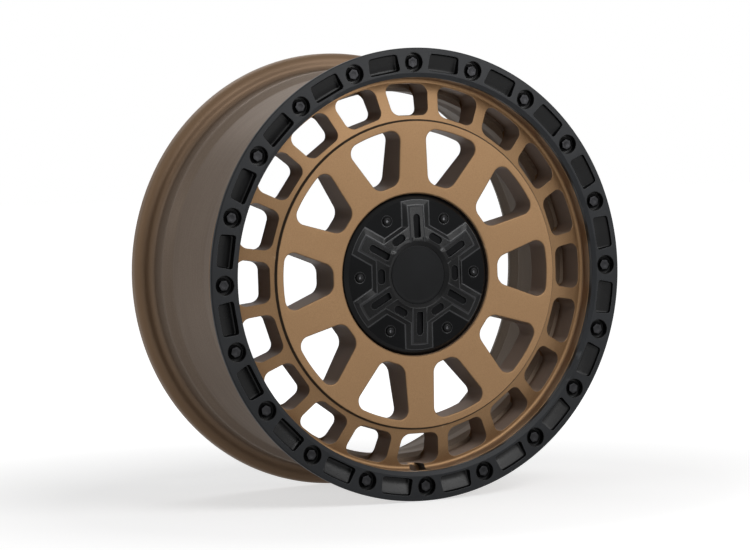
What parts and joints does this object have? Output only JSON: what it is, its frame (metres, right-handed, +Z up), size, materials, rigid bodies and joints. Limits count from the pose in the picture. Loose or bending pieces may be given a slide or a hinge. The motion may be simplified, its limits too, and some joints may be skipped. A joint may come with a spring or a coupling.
{
  "type": "wheel rim",
  "caption": "Bronze forged wheel rim with a dished spoked face, a bolt-on black bead ring and a screwed ribbed centre cap; bolts to a hub and carries a tyre.",
  "frame": {"origin": "centre of the hub bore, on the mounting face", "axes": "+Y along the axle towards the vehicle, so the front of the wheel faces -Y; +Z up, with the valve hole at the bottom"},
  "size_m": [0.4723, 0.2215, 0.4724],
  "materials": {
    "bronze": "matt metallic bronze paint",
    "bronze_barrel": "matt metallic bronze paint over a turned barrel",
    "weld": "bronze paint over a weld bead",
    "ring_black": "satin black paint",
    "bolt_black": "black zinc",
    "insert_steel": "plain machined steel",
    "cap_black": "satin black moulded plastic",
    "badge_black": "bare satin black disc",
    "screw_steel": "black oxide"
  },
  "bodies": {
    "rim": {"wheel_face": "bronze", "rim_barrel": "bronze_barrel", "barrel_weld": "weld", "ring_inserts": "insert_steel", "cap_inserts": "insert_steel", "lug_seats": "insert_steel"},
    "ring": {"bead_ring": "ring_black"},
    "bolts": {"ring_bolts": "bolt_black", "ring_washers": "bolt_black"},
    "cap": {"center_cap": "cap_black", "cap_badge": "badge_black"},
    "screws": {"cap_screws": "screw_steel"}
  },
  "joints": [
    {"name": "ring_off", "type": "slide", "parent": "rim", "child": "ring", "axis": [0, -1, 0], "range_m": [0, 0.06]},
    {"name": "bolts_out", "type": "slide", "parent": "ring", "child": "bolts", "axis": [0, -1, 0], "range_m": [0, 0.03]},
    {"name": "cap_off", "type": "slide", "parent": "rim", "child": "cap", "axis": [0, -1, 0], "range_m": [0, 0.06]},
    {"name": "screws_out", "type": "slide", "parent": "cap", "child": "screws", "axis": [0, -1, 0], "range_m": [0, 0.03]}
  ]
}
